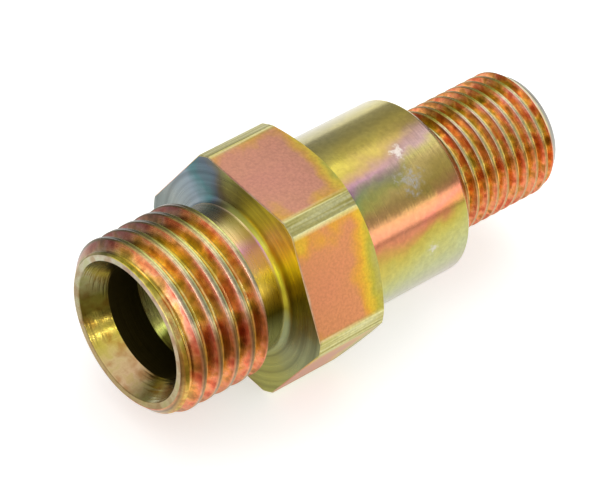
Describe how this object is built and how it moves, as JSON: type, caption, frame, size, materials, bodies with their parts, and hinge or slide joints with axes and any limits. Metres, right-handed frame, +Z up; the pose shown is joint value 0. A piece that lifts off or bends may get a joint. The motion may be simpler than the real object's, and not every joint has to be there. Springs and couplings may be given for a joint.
{
  "type": "union fitting",
  "caption": "Straight male union turned from hexagon bar: coarse thread with cone seat and undercut, wrench hexagon, plain collar and finer thread, bored right through.",
  "frame": {"origin": "on the fitting's axis, in the plane of the coarse-thread end's mouth", "axes": "+X along the axis from the coarse thread to the fine thread, +Z up, square to the hexagon flat on top, so the fitting rests on the flat at z = -8.5 mm; two hexagon corners lie at +Y and -Y"},
  "size_m": [0.0383, 0.019, 0.017],
  "materials": {
    "zinc_plated_steel": "satin"
  },
  "bodies": {
    "root": {"union_body": "zinc_plated_steel"}
  },
  "joints": []
}
